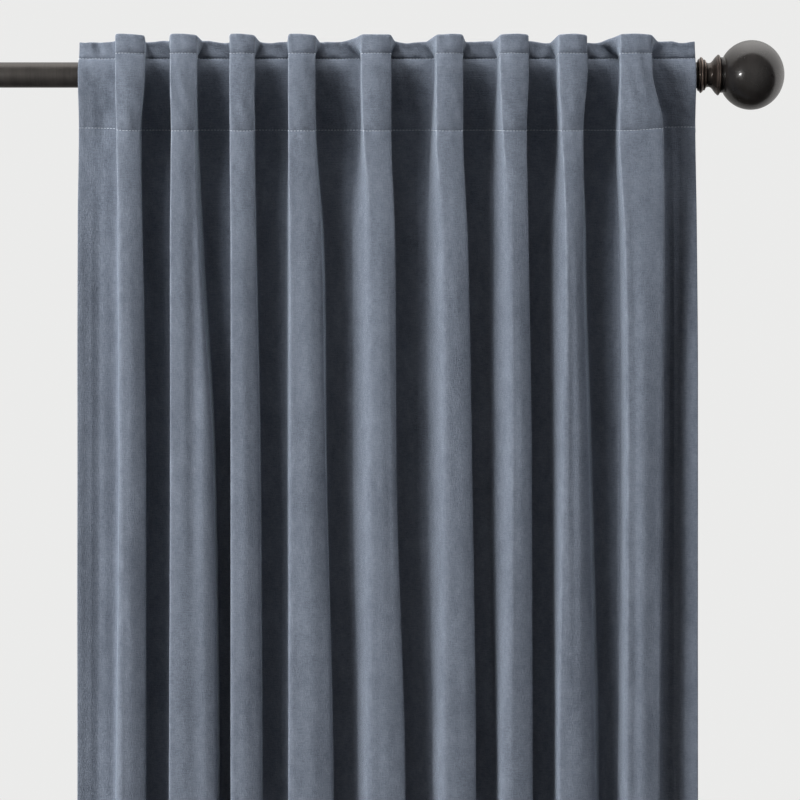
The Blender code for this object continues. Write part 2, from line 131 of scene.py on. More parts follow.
# Ridges and valleys: from and to, each in mm across and metres up, then width and height in mm. A valley's
# height is negative.
CREASES = (
    ((46, -0.03), (44, -2.0), 2.8, 1.5), ((44, -0.43), (61, -0.56), 4.0, 0.9),
    ((58, -0.3), (50, -0.42), 4.0, 0.5), ((117, -0.05), (117, -0.5), 6.0, -2.6),
    ((117, -0.12), (118, -0.95), 7.0, -1.4), ((127, -0.2), (131, -0.9), 5.0, 1.2),
    ((103, 0.018), (118, -0.02), 3.0, 0.5), ((167, -0.05), (170, -0.7), 6.0, 0.7),
    ((157, -0.25), (158, -1.3), 2.0, 0.5), ((214, -0.05), (215, -1.2), 2.2, 0.7),
    ((232, -0.1), (240, -0.9), 7.0, 0.9), ((226, 0.02), (231, 0.0), 3.0, 0.6),
    ((291, -0.06), (293, -1.1), 3.2, 1.5), ((309, -0.12), (318, -0.62), 2.4, 0.8),
    ((364, -0.06), (366, -0.8), 3.4, 1.4), ((376, -0.2), (381, -0.75), 5.0, -0.8),
    ((432, -0.06), (432, -0.8), 2.6, 1.4), ((422, 0.013), (447, 0.0), 2.0, 0.9),
    ((423, -0.004), (444, -0.012), 2.2, -0.8), ((426, 0.028), (441, 0.016), 2.0, -0.5),
    ((486, -0.12), (488, -0.62), 1.8, 1.2), ((492, -0.15), (494, -0.55), 2.2, -1.0),
    ((500, -0.18), (501, -0.7), 4.0, 0.9), ((545, -0.06), (547, -1.1), 2.4, 1.8),
    ((553, -0.1), (555, -0.8), 4.0, -1.2), ((564, -0.15), (562, -0.75), 5.0, 0.7),
    ((580, -0.06), (577, -1.1), 1.5, 0.8), ((600, -0.06), (601, -1.4), 1.6, -1.2),
    ((570, 0.05), (588, 0.02), 2.4, -1.2), ((24, 0.036), (31, 0.012), 2.6, 0.9),
    ((27, -0.05), (29, -0.9), 4.0, 0.9), ((11, -0.08), (10, -1.1), 4.0, 0.7),
    ((30, -0.002), (20, -0.052), 9.0, -2.4), ((6, -0.012), (10, -0.05), 5.0, -1.0),
)

# ---------------------------------------------------------------- small helpers

def between(heights, values, at):
    """Smooth curve through (height, value) points that never overshoots them."""
    order = np.argsort(heights)
    x = np.array(heights, float)[order]
    y = np.array(values, float)[order]
    step = np.diff(x)
    rise = np.diff(y) / step
    slope = np.zeros(len(x))
    same_way = rise[1:] * rise[:-1] > 0
    safe = np.where(same_way, rise[1:] + rise[:-1], 1)
    slope[1:-1] = np.where(same_way, 2 * rise[1:] * rise[:-1] / safe, 0)
    at = np.clip(at, x[0], x[-1])
    i = np.clip(np.searchsorted(x, at) - 1, 0, len(step) - 1)
    t = (at - x[i]) / step[i]
    near = (1 + 2 * t) * (1 - t) ** 2 * y[i] + t**2 * (3 - 2 * t) * y[i + 1]
    return near + step[i] * (t * (1 - t) ** 2 * slope[i] - t**2 * (1 - t) * slope[i + 1])


def rise_over(start, end, at):
    """0 at start, 1 at end, smooth between."""
    t = np.clip((at - start) / (end - start), 0, 1)
    return t * t * (3 - 2 * t)


def hump(at, centre, width):
    """1 at centre, fading to nothing on both sides over about twice the width."""
    return np.exp(-(((at - centre) / width) ** 2))


def grid_object(name, x, y, z, u, v, finish):
    """A quilt of quads through rows and columns of points, with a cloth map in metres."""
    rows, columns = x.shape
    verts = np.stack([x, y, z], -1).reshape(-1, 3)
    index = np.arange(rows * columns).reshape(rows, columns)
    corners = [index[:-1, :-1], index[1:, :-1], index[1:, 1:], index[:-1, 1:]]
    faces = np.stack(corners, -1).reshape(-1, 4)
    mesh = bpy.data.meshes.new(name)
    mesh.from_pydata(verts.tolist(), [], faces.tolist())
    cloth_map = mesh.uv_layers.new(name="cloth")
    flat = np.stack(np.broadcast_arrays(u, v), -1).reshape(-1, 2)
    cloth_map.data.foreach_set("uv", flat[faces.ravel()].astype(np.float32).ravel())
    mesh.shade_smooth()
    made = bpy.data.objects.new(name, mesh)
    made.data.materials.append(finish)
    bpy.context.scene.collection.objects.link(made)
    return made


def mesh_object(name, bm, finish, smooth_angle=35):
    """A finished object from a bmesh: doubles merged, faces outward, sharp past smooth_angle degrees."""
    bmesh.ops.remove_doubles(bm, verts=bm.verts, dist=1e-6)
    bmesh.ops.recalc_face_normals(bm, faces=bm.faces)
    mesh = bpy.data.meshes.new(name)
    bm.to_mesh(mesh)
    bm.free()
    mesh.shade_smooth()
    mesh.set_sharp_from_angle(angle=math.radians(smooth_angle))
    made = bpy.data.objects.new(name, mesh)
    made.data.materials.append(finish)
    bpy.context.scene.collection.objects.link(made)
    return made


def apply_modifiers(made):
    """Turn an object and its modifiers into a plain mesh."""
    graph = bpy.context.evaluated_depsgraph_get()
    mesh = bpy.data.meshes.new_from_object(made.evaluated_get(graph))
    made.modifiers.clear()
    made.data = mesh
    return made


# ---------------------------------------------------------------- finishes

MIX_FIRST, MIX_SECOND, MIX_RESULT = 6, 7, 2     # the colour sockets of a Mix node

def finish_nodes(name, roughness=0.5, metallic=0.0, **sockets):
    """A Principled finish, and a way to add and join nodes in it."""
    made = bpy.data.materials.new(name)
    made.use_nodes = True
    tree = made.node_tree
    shader = tree.nodes["Principled BSDF"]
    shader.inputs["Roughness"].default_value = roughness
    shader.inputs["Metallic"].default_value = metallic
    for socket, value in sockets.items():
        shader.inputs[socket.replace("_", " ")].default_value = value
    return made, tree, shader


def add(tree, kind, inputs=None, **settings):
    """A node with its settings, and its inputs set to a value or joined to another node's socket."""
    node = tree.nodes.new(kind)
    for key, value in settings.items():
        setattr(node, key, value)
    for socket, value in (inputs or {}).items():
        if isinstance(value, bpy.types.NodeSocket):
            tree.links.new(value, node.inputs[socket])
        else:
            node.inputs[socket].default_value = value
    return node


def scaled_noise(tree, source, scale, detail=2.0, roughness=0.5):
    """Noise stretched by a scale along each axis of a coordinate."""
    mapping = add(tree, "ShaderNodeMapping", {"Vector": source, "Scale": scale})
    noise = add(
        tree,
        "ShaderNodeTexNoise",
        {"Vector": mapping.outputs["Vector"], "Scale": 1.0, "Detail": detail, "Roughness": roughness},
    )
    return noise.outputs["Fac"]


def remap(tree, value, low, high, to_low, to_high):
    """A value's range low to high, stretched to to_low to to_high and held at its ends."""
    node = add(
        tree,
        "ShaderNodeMapRange",
        {"Value": value, "From Min": low, "From Max": high, "To Min": to_low, "To Max": to_high},
    )
    return node.outputs["Result"]


def math_node(tree, operation, a, b):
    return add(tree, "ShaderNodeMath", {0: a, 1: b}, operation=operation).outputs["Value"]


def mix_colours(tree, share, first, second):
    """The first colour where share is 0 and the second where it is 1; either may be a socket."""
    node = add(tree, "ShaderNodeMix", {"Factor": share}, data_type="RGBA")
    for socket, value in ((MIX_FIRST, first), (MIX_SECOND, second)):
        if isinstance(value, bpy.types.NodeSocket):
            tree.links.new(value, node.inputs[socket])
        else:
            node.inputs[socket].default_value = (*value, 1)
    return node.outputs[MIX_RESULT]


def bump(tree, shader, height, distance, strength=1.0):
    node = add(tree, "ShaderNodeBump", {"Height": height, "Distance": distance, "Strength": strength})
    tree.links.new(node.outputs["Normal"], shader.inputs["Normal"])


def velvet_finish():
    """Short cotton pile: strands down the drop, soft crushed patches, and a painted highlight where it turns sharply.
    """
    made, tree, shader = finish_nodes(
        "velvet",
        roughness=0.85,
        Sheen_Weight=0.55,
        Sheen_Roughness=0.35,
        Sheen_Tint=(0.62, 0.72, 0.86, 1),
        Specular_IOR_Level=0.12,
    )
    cloth = add(tree, "ShaderNodeUVMap", uv_map="cloth").outputs["UV"]
    strands = scaled_noise(tree, cloth, (820, 210, 1), detail=3)
    picks = scaled_noise(tree, cloth, (180, 900, 1), detail=2)
    patches = scaled_noise(tree, cloth, (34, 16, 1), detail=3, roughness=0.6)
    brushed = scaled_noise(tree, cloth, (150, 70, 1), detail=3, roughness=0.6)
    pile = scaled_noise(tree, cloth, (1300, 1300, 1), detail=2)
    tone = 0.0
    strengths = ((strands, 0.10), (picks, 0.16), (patches, 0.14), (brushed, 0.13), (pile, 0.26))
    for noise, strength in strengths:
        tone = math_node(tree, "ADD", remap(tree, noise, 0.3, 0.7, -strength, strength), tone)
    share = remap(tree, tone, -0.5, 0.5, 0.0, 1.0)
    colour = mix_colours(tree, share, (0.060, 0.071, 0.092), (0.148, 0.170, 0.208))
    # painted highlight: the base colour is mixed towards a pale blue-grey where the cloth turns sharply round a
    # pleat's edge, standing in for the velvet's sheen there
    turned = add(tree, "ShaderNodeAttribute", attribute_name="turned").outputs["Fac"]
    painted_highlight_share = math_node(tree, "MULTIPLY", turned, remap(tree, brushed, 0.3, 0.7, 0.10, 0.45))
    colour = mix_colours(tree, painted_highlight_share, colour, (0.300, 0.340, 0.400))
    tree.links.new(colour, shader.inputs["Base Color"])
    height = math_node(tree, "ADD", strands, math_node(tree, "MULTIPLY", pile, 0.6))
    height = math_node(tree, "ADD", height, math_node(tree, "MULTIPLY", picks, 0.8))
    bump(tree, shader, height, 0.0006, 0.8)
    return made


def plain_weave_finish(name, pale, dark, threads_per_metre):
    """Over-and-under threads with slubs."""
    made, tree, shader = finish_nodes(name, roughness=0.9, Sheen_Weight=0.15, Sheen_Roughness=0.5)
    cloth = add(tree, "ShaderNodeUVMap", uv_map="cloth").outputs["UV"]
    turn = threads_per_metre * math.tau
    part = add(tree, "ShaderNodeSeparateXYZ", {"Vector": cloth})
    across = math_node(tree, "SINE", math_node(tree, "MULTIPLY", part.outputs["X"], turn), 0)
    down = math_node(tree, "SINE", math_node(tree, "MULTIPLY", part.outputs["Y"], turn), 0)
    weave = math_node(tree, "MULTIPLY", across, down)
    slubs = scaled_noise(tree, cloth, (420, 90, 1), detail=3)
    patches = scaled_noise(tree, cloth, (14, 9, 1), detail=2)
    slub_tone = remap(tree, slubs, 0.3, 0.7, 0.0, 0.5)
    share = math_node(tree, "ADD", slub_tone, remap(tree, patches, 0.3, 0.7, 0.0, 0.4))
    share = math_node(tree, "ADD", share, math_node(tree, "MULTIPLY", weave, 0.12))
    tree.links.new(mix_colours(tree, share, dark, pale), shader.inputs["Base Color"])
    height = math_node(tree, "ADD", math_node(tree, "MULTIPLY", weave, 0.5), slubs)
    bump(tree, shader, height, 0.0002, 0.7)
    return made


def thread_finish(name, pale, dark):
    """Twisted sewing thread."""
    made, tree, shader = finish_nodes(name, roughness=0.55, Sheen_Weight=0.2)
    place = add(tree, "ShaderNodeTexCoord").outputs["Object"]
    twist = scaled_noise(tree, place, (2600, 2600, 2600), detail=1)
    tree.links.new(mix_colours(tree, twist, dark, pale), shader.inputs["Base Color"])
    bump(tree, shader, twist, 0.0001, 0.6)
    return made


def metal_finish(name, dark, pale, roughness, metallic, ring_scale, coat=0.0, wear=None):
    """Painted or plated metal or moulded nylon: turning marks, cloudy tone and, with wear, rubbed edges."""
    made, tree, shader = finish_nodes(name, roughness, metallic, Coat_Weight=coat, Coat_Roughness=0.1)
    place = add(tree, "ShaderNodeTexCoord").outputs["Object"]
    rings = scaled_noise(tree, place, (ring_scale, 30, 30), detail=3)
    cloudy = scaled_noise(tree, place, (60, 60, 60), detail=3)
    grain = scaled_noise(tree, place, (1800, 1800, 1800), detail=1)
    ring_tone = remap(tree, rings, 0.3, 0.7, 0, 0.4)
    share = math_node(tree, "ADD", ring_tone, remap(tree, cloudy, 0.3, 0.7, 0, 0.6))
    colour = mix_colours(tree, share, dark, pale)
    if wear:
        rubbed = add(tree, "ShaderNodeAttribute", attribute_name="rubbed").outputs["Fac"]
        broken = math_node(tree, "MULTIPLY", rubbed, remap(tree, cloudy, 0.35, 0.6, 0.35, 1.0))
        colour = mix_colours(tree, broken, colour, wear)
    tree.links.new(colour, shader.inputs["Base Color"])
    worn_gloss = remap(tree, cloudy, 0.3, 0.7, roughness * 0.8, roughness * 1.2)
    tree.links.new(worn_gloss, shader.inputs["Roughness"])
    height = math_node(tree, "ADD", rings, math_node(tree, "MULTIPLY", grain, 0.3))
    bump(tree, shader, height, 0.00012, 0.35)
    return made


velvet = velvet_finish()
lining_cloth = plain_weave_finish("lining_cloth", (0.66, 0.64, 0.58), (0.50, 0.48, 0.43), 700)
tab_cloth = plain_weave_finish("tab_cloth", (0.17, 0.20, 0.25), (0.09, 0.11, 0.14), 900)
blue_thread = thread_finish("blue_thread", (0.52, 0.57, 0.63), (0.34, 0.38, 0.44))
cream_thread = thread_finish("cream_thread", (0.70, 0.67, 0.60), (0.50, 0.47, 0.41))
rod_bronze = metal_finish(
    "rod_bronze", (0.052, 0.048, 0.045), (0.088, 0.081, 0.075), 0.40, 0.75, 500, coat=0.25
)
ball_bronze = metal_finish(
    "ball_bronze", (0.010, 0.009, 0.0085), (0.018, 0.016, 0.015), 0.30, 0.2, 700, coat=0.9
)
neck_bronze = metal_finish(
    "neck_bronze", (0.030, 0.025, 0.022), (0.075, 0.060, 0.052), 0.30, 0.8, 900, coat=0.3,
    wear=(0.52, 0.38, 0.31),
)
bracket_bronze = metal_finish(
    "bracket_bronze", (0.016, 0.015, 0.014), (0.036, 0.031, 0.028), 0.42, 0.5, 200, coat=0.1
)
nylon = metal_finish("nylon", (0.42, 0.42, 0.40), (0.58, 0.58, 0.55), 0.55, 0.0, 100)
zinc = metal_finish("zinc_steel", (0.30, 0.30, 0.31), (0.52, 0.52, 0.54), 0.33, 1.0, 900)


# ---------------------------------------------------------------- the cloth's shape

def corner(before, point, after, radius):
    """Three guide points that turn a corner softly; each is rows of (x, y)."""
    guides = []
    for other in (before, after):
        run = other - point
        length = np.linalg.norm(run, axis=1, keepdims=True)
        reach = np.minimum(radius[:, None], length * 0.45)
        guides.append(point + run / length * reach)
    return [guides[0], point, guides[1]]


def cross_section(heights, behind):
    """Guide points of the cloth from above, a row for each height; behind moves it towards the wall."""
    def spot(x, y):
        return np.stack(np.broadcast_arrays(x, y + np.zeros_like(heights)), -1)

    loose = rise_over(UPPER_SEAM, HEADER_TOP, heights)       # 1 at the free top of the header
    drop = rise_over(LOWER_SEAM, LOWER_SEAM - 0.25, heights)  # 1 well below the lower seam
    foot = rise_over(-0.9, PANEL_FOOT, heights)              # 1 at the bottom of the panel
    band = rise_over(LOWER_SEAM - 0.02, LOWER_SEAM + 0.01, heights) * (1 - loose)
    back = RECESS_FRONT + behind
    front = PLEAT_FRONT + behind
    points = [spot(0.0, back - (1 + 4 * drop) * MM), spot(9 * MM, back - 1.5 * drop * MM)]
    folds = []
    for lefts, rights, leans, tucks, (left_round, right_round, set_back), spread in PLEATS:
        left = between(DRESSED, lefts, heights) * MM
        right = between(DRESSED, rights, heights) * MM
        lean = between(DRESSED, leans, heights) * MM + loose * spread[0] * MM
        tuck = between(DRESSED, tucks, heights) * MM - loose * spread[1] * MM
        edges = (left_round * MM, right_round * MM, set_back * MM * (0.35 + 0.65 * drop))
        folds.append((left, right, left - lean + behind, right - tuck - behind, edges))
    last = len(folds) - 1
    previous = points[-1]
    for k, (left, right, left_foot, right_foot, edges) in enumerate(folds):
        left_round, right_round, set_back = edges
        feet = (spot(left_foot, back), spot(right_foot, back))
        shoulders = (spot(left + behind, front), spot(right - behind, front + set_back))
        if k < last:
            gap_end = folds[k + 1][2]
        else:
            gap_end = CLOTH_WIDTH
        following = spot((right_foot + gap_end) / 2, back)
        crisp = 2.2 * MM + drop * (left_round - 1 * MM) + foot * 7 * MM
        soft = 2.0 * MM + drop * (right_round - 1 * MM) + foot * 8 * MM + loose * 2 * MM
        foot_round = 4.0 * MM + drop * 4 * MM + foot * 8 * MM + loose * 6 * MM
        crown = 1.4 * MM + 1.8 * MM * drop + 4 * MM * foot + 1.8 * MM * band
        centre = spot((left + right) / 2, front + set_back * 0.35 - crown)
        points += corner(previous, feet[0], shoulders[0], foot_round)
        points += corner(feet[0], shoulders[0], centre, crisp)
        points.append(centre)
        points += corner(centre, shoulders[1], feet[1], soft)
        points += corner(shoulders[1], feet[1], following, foot_round)
        if k < last:
            points.append(following)
            previous = following
    curl = 2 * MM + 14 * MM * drop
    for inset, share in ((22 * MM, 0.2), (11 * MM, 0.55), (0.0, 1.0)):
        points.append(spot(CLOTH_WIDTH - inset, back - share * curl))
    return np.stack(points, 1)


def spline_weights(count, places):
    """Rows of weights that draw a smooth curve from guide points, through the first and the last."""
    weights = np.zeros((len(places), count + 2))
    for row, place in enumerate(places):
        base = min(int(place), count - 2)
        t = place - base
        blend = ((1 - t) ** 3, 3 * t**3 - 6 * t**2 + 4, -3 * t**3 + 3 * t**2 + 3 * t + 1, t**3)
        weights[row, base : base + 4] = np.array(blend) / 6
    weights[:, 1] += 2 * weights[:, 0]
    weights[:, 2] -= weights[:, 0]
    weights[:, -2] += 2 * weights[:, -1]
    weights[:, -3] -= weights[:, -1]
    return weights[:, 1:-1]


def column_places(guides):
    """Where along the guide points the columns stand: closer together where the guides are."""
    gaps = np.linalg.norm(np.diff(guides, axis=1), axis=2)
    longest = gaps[:: max(1, len(gaps) // 12)].max(axis=0)
    places = []
    for start, gap in enumerate(longest):
        count = int(np.clip(round(gap / COLUMN_SPACING), 2, 5))
        places += [start + i / count for i in range(count)]
    return np.array(places + [len(longest)])


def row_heights():
    """Heights of the cloth's rows from the top edge to the bottom edge, closest at the seams."""
    near_seam = np.array([3.0, 2.0, 1.2, 0.5, 0.0, -0.5, -1.2, -2.0, -3.0]) * MM
    rows = list(np.arange(HEADER_TOP, UPPER_SEAM + 3.5 * MM, -2.2 * MM))
    rows += list(UPPER_SEAM + near_seam)
    rows += list(np.arange(UPPER_SEAM - 5.0 * MM, LOWER_SEAM + 4 * MM, -2.3 * MM))
    rows += list(LOWER_SEAM + near_seam)
    height = LOWER_SEAM - 5 * MM
    step = 3.5 * MM
    while height > PANEL_FOOT + 6 * MM:
        rows.append(height)
        step = min(step * 1.07, 13 * MM if height > LOWER_DROP else 32 * MM)
        height -= step
    return np.array(rows + [PANEL_FOOT])


ROWS = row_heights()
GUIDES = cross_section(ROWS, 0.0)
PLACES = column_places(GUIDES)
WEIGHTS = spline_weights(GUIDES.shape[1], PLACES)
SHEET = np.einsum("cg,rgk->rck", WEIGHTS, GUIDES)
SHEET_BEHIND = np.einsum("cg,rgk->rck", WEIGHTS, cross_section(ROWS, 1 * MM))
OFFSET = (SHEET_BEHIND - SHEET) / MM      # how a point moves for each metre towards the wall
ACROSS = SHEET[..., 0]
FORWARD = (RECESS_FRONT - SHEET[..., 1]) / (RECESS_FRONT - PLEAT_FRONT)   # 0 in a recess, 1 on a pleat
HEIGHT = np.repeat(ROWS[:, None], len(PLACES), axis=1)


def wrinkles(seed, count, across, down, size):
    """A sum of slow waves over the cloth, about this long across and down and this high, in metres."""
    draw = np.random.default_rng(seed)
    total = np.zeros_like(ACROSS)
    for _ in range(count):
        turn = draw.uniform(-0.25, 0.25)
        phase = draw.uniform(0, math.tau)
        wide = across * draw.uniform(0.6, 1.6)
        tall = down * draw.uniform(0.6, 1.6)
        wave = (ACROSS + turn * HEIGHT) / wide + HEIGHT / tall
        total += np.sin(math.tau * wave + phase)
    return total * size / math.sqrt(count)


def crease(start, end, width, size):
    """A soft ridge in the front of the cloth between two (mm across, metres up) points."""
    first = np.array((start[0] * MM, start[1]))
    run = np.array((end[0] * MM, end[1])) - first
    x = ACROSS - first[0]
    z = HEIGHT - first[1]
    share = (x * run[0] + z * run[1]) / (run @ run)
    along = np.clip(share, 0, 1)
    away = np.hypot(x - along * run[0], z - along * run[1])
    ends = np.sin(math.pi * along) ** 0.6
    return size * MM * np.exp(-((away / (width * MM)) ** 2)) * ends


def recess_profile():
    """How far back from the rod's front the recesses lie: over the rod, and in again to each seam."""
    above = np.clip(ROWS - ROD_Z, 0, UPPER_SEAM - ROD_Z)
    wrapped = WRAP_RADIUS - np.sqrt(WRAP_RADIUS**2 - above**2)
    below = rise_over(ROD_Z - 5 * MM, LOWER_SEAM, ROWS) * 8 * MM
    back_out = rise_over(LOWER_SEAM, LOWER_SEAM - 0.09, ROWS) * 8 * MM
    leaning = rise_over(UPPER_SEAM, HEADER_TOP, ROWS) * 3 * MM
    return wrapped + below - back_out + leaning


def pleat_profile():
    """How far back from the pleats' fronts they are pinched at each seam."""
    pinch = 2.6 * MM * np.exp(-np.abs(ROWS - UPPER_SEAM) / (6 * MM))
    pinch += 2.8 * MM * np.exp(-np.abs(ROWS - LOWER_SEAM) / (10 * MM))
    pressed = 0.5 * MM * rise_over(UPPER_SEAM - 10.6 * MM, UPPER_SEAM - 12.2 * MM, ROWS)
    relaxed = rise_over(UPPER_SEAM - 12 * MM, LOWER_SEAM, ROWS)
    lean = 1.5 * MM * rise_over(UPPER_SEAM, HEADER_TOP, ROWS)
    return pinch - pressed * (1 - relaxed) + lean


def side_hem_lines():
    """The puckered line along each side where the side hem is sewn down behind the face."""
    moved = np.zeros_like(ACROSS)
    for edge in (18.5 * MM, CLOTH_WIDTH - 17 * MM):
        moved += 1.3 * MM * hump(ACROSS, edge, 1.6 * MM) - 0.5 * MM * hump(ACROSS, edge - 4 * MM, 3 * MM)
        tug = np.sin(HEIGHT / (3.1 * MM) + 2 * np.sin(HEIGHT / (17 * MM)))
        moved -= 0.4 * MM * tug * hump(ACROSS, edge, 6 * MM)
    return moved


def seam_puckers():
    """How far the cloth stands forward in small puckers along both seams."""
    lower = np.sin(ACROSS / (2.3 * MM) + 3 * np.sin(ACROSS / (11 * MM)))
    upper = np.sin(ACROSS / (2.9 * MM) + 2 * np.sin(ACROSS / (13 * MM)))
    at_lower = 0.3 * MM * lower * hump(HEIGHT, LOWER_SEAM, 8 * MM)
    return at_lower + 0.25 * MM * upper * hump(HEIGHT, UPPER_SEAM, 6 * MM)


def shape_cloth():
    """Back-and-forward places and heights of the whole face, seams, sags and wrinkles included."""
    y = SHEET[..., 1].copy()
    y += (1 - FORWARD) * recess_profile()[:, None] + FORWARD * pleat_profile()[:, None]
    drop = rise_over(LOWER_SEAM, LOWER_SEAM - 0.2, ROWS)[:, None]
    y -= wrinkles(seed=3, count=9, across=0.06, down=0.5, size=0.5 * MM) * (0.25 + 0.75 * drop)
    y -= wrinkles(seed=5, count=7, across=0.025, down=0.14, size=0.16 * MM)
    in_header = rise_over(LOWER_SEAM - 0.03, LOWER_SEAM + 0.01, ROWS)[:, None]
    y -= wrinkles(seed=11, count=9, across=0.017, down=0.045, size=0.32 * MM) * in_header
    y -= wrinkles(seed=13, count=6, across=0.05, down=0.03, size=0.22 * MM) * in_header
    above_seam = rise_over(UPPER_SEAM, UPPER_SEAM + 5 * MM, ROWS)[:, None]
    crumpled = wrinkles(seed=17, count=6, across=0.014, down=0.06, size=0.9 * MM)
    y -= crumpled * above_seam * (1 - FORWARD)
    for ridge in CREASES:
        y -= crease(*ridge)
    stitched = 0.9 * MM * np.exp(-np.abs(ROWS - UPPER_SEAM) / (1.0 * MM))
    stitched += 0.7 * MM * np.exp(-np.abs(ROWS - LOWER_SEAM) / (0.9 * MM))
    y += stitched[:, None] + side_hem_lines() - seam_puckers()

    z = HEIGHT.copy()
    near_lower_seam = hump(HEIGHT, LOWER_SEAM, 34 * MM)
    z -= PLEAT_SEAM_DROP * FORWARD * near_lower_seam
    raised_sides = 2.2 * MM * rise_over(60 * MM, 20 * MM, ACROSS)
    raised_sides += 3.2 * MM * rise_over(CLOTH_WIDTH - 80 * MM, CLOTH_WIDTH - 20 * MM, ACROSS)
    z += raised_sides * near_lower_seam
    top = rise_over(UPPER_SEAM, HEADER_TOP, ROWS)[:, None]
    wave = np.sin(ACROSS / (7.3 * MM)) * 0.6 + np.sin(ACROSS / (3.7 * MM) + 1) * 0.4
    z -= (1.5 * MM + 1.3 * MM * wave) * (1 - FORWARD) * top
    z -= 0.4 * MM * np.sin(ACROSS / (9 * MM)) * FORWARD * top
    return y, z


FACE_Y, FACE_Z = shape_cloth()


def painted_edge_highlight():
    """Share of the painted edge highlight: 1 where the cloth turns sharply round a pleat's front edge, 0 elsewhere."""
    forward, sideways = np.diff(FACE_Y, axis=1), np.diff(ACROSS, axis=1)
    run = np.arctan2(forward, sideways)
    step = np.hypot(forward, sideways)
    bend = (run[:, 1:] - run[:, :-1]) / (step[:, 1:] + step[:, :-1])
    bend = np.pad(bend, ((0, 0), (1, 1)))
    sharp = rise_over(60, 260, bend)
    crisp = 0.35 + 0.65 * rise_over(LOWER_SEAM - 0.25, LOWER_SEAM, ROWS)[:, None]
    return sharp * crisp * rise_over(0.6, 0.9, FORWARD)


def along_the_cloth():
    """Distance along the flat cloth of each column."""
    row = int(np.argmin(np.abs(ROWS - MID_DROP)))
    steps = np.hypot(np.diff(ACROSS[row]), np.diff(FACE_Y[row]))
    along = np.concatenate([[0], np.cumsum(steps)])
    return along, along[-1]


ALONG, LENGTH_ACROSS = along_the_cloth()


def layer(rows, columns, behind, side=0.0, up=0.0):
    """Points of a layer: rows and columns of the face, moved towards the wall, sideways and up."""
    pick = np.ix_(rows, columns)
    x = PANEL_LEFT + SIDE_INSET + ACROSS[pick] + OFFSET[..., 0][pick] * behind + side
    y = FACE_Y[pick] + OFFSET[..., 1][pick] * behind
    z = FACE_Z[pick] + up
    return x, y, z


def turned_edge(count, gap):
    """Steps round a folded edge: how far behind, and how far out."""
    turns = [math.pi * (i + 1) / (count + 1) for i in range(count)]
    return [(gap / 2 * (1 - math.cos(turn)), gap / 2 * math.sin(turn)) for turn in turns]


def velvet_panel():
    """The face cloth in one piece, with its side hems, bottom hem and header turned to the back."""
    last_row, last_column = len(ROWS) - 1, len(PLACES) - 1
    facing = [i for i in range(len(ROWS)) if ROWS[i] > LOWER_SEAM - 7 * MM]
    hem = [i for i in range(len(ROWS)) if ROWS[i] < PANEL_FOOT + BOTTOM_HEM]
    over_the_top = turned_edge(HEM_FACETS, FACING_BEHIND)
    round_the_hem = turned_edge(HEM_FACETS, HEM_BEHIND)
    rows = [(i, FACING_BEHIND, 0) for i in facing[::-2]]
    rows += [(0, behind, out) for behind, out in over_the_top[::-1]]
    rows += [(i, 0, 0) for i in range(len(ROWS))]
    rows += [(last_row, behind, -out) for behind, out in round_the_hem]
    rows += [(i, HEM_BEHIND, 0) for i in hem[::-1]]
    left = [i for i in range(len(PLACES)) if ALONG[i] < SIDE_HEM]
    right = [i for i in range(len(PLACES)) if ALONG[i] > LENGTH_ACROSS - SIDE_HEM]
    columns = [(i, HEM_BEHIND, 0) for i in left[::-1]]
    columns += [(0, behind, -out) for behind, out in round_the_hem[::-1]]
    columns += [(i, 0, 0) for i in range(len(PLACES))]
    columns += [(last_column, behind, out) for behind, out in round_the_hem]
    columns += [(i, HEM_BEHIND, 0) for i in right[::-1]]
    row_at, row_behind, row_up = (np.array(part) for part in zip(*rows))
    column_at, column_behind, column_out = (np.array(part) for part in zip(*columns))
    tucked = 1 - 1.5 * row_behind[:, None] / FACING_BEHIND     # the facing's own side hems turn in under it
    behind = row_behind[:, None] + column_behind[None, :] * tucked
    x, y, z = layer(row_at, column_at, behind, column_out[None, :], row_up[:, None])
    u = ALONG[column_at]
    v = ROWS[row_at]
    made = grid_object("velvet_panel", x, y, z, u[None, :], v[:, None], velvet)
    # the 'turned' attribute carries the share of painted highlight along sharply turned pleat edges
    turned = made.data.attributes.new("turned", "FLOAT", "POINT")
    pile = painted_edge_highlight()[np.ix_(row_at, column_at)]
    turned.data.foreach_set("value", pile.astype(np.float32).ravel())
    hung, folded_over = HEADER_TOP - PANEL_FOOT, HEADER_TOP - LOWER_SEAM
    flat = (FLAT_WIDTH + 2 * SIDE_HEM, hung + BOTTOM_HEM + folded_over)
    return made, flat


def lining_panel():
    """Cream lining behind the face, under the header's facing and over the side hems."""
    bottom, top = PANEL_FOOT + LINING_RISE, LOWER_SEAM - 2.5 * MM
    first, last = LINING_MARGIN, LENGTH_ACROSS - LINING_MARGIN
    rows = [i for i in range(len(ROWS)) if bottom < ROWS[i] < top]
    inside = [i for i in range(0, len(PLACES), 2) if first < ALONG[i] < last]
    x, y, z = layer(rows, inside, LINING_BEHIND)
    u, v = ALONG[inside][None, :], ROWS[rows][:, None]
    made = grid_object("lining_panel", x, y, z, u, v, lining_cloth)
    wall = made.modifiers.new("thickness", "SOLIDIFY")
    wall.thickness = LINING_THICKNESS
    wall.offset = -1
    apply_modifiers(made)
    flat = (FLAT_WIDTH - 2 * LINING_MARGIN, ROWS[rows[0]] - ROWS[rows[-1]])
    return made, flat


# ---------------------------------------------------------------- stitching

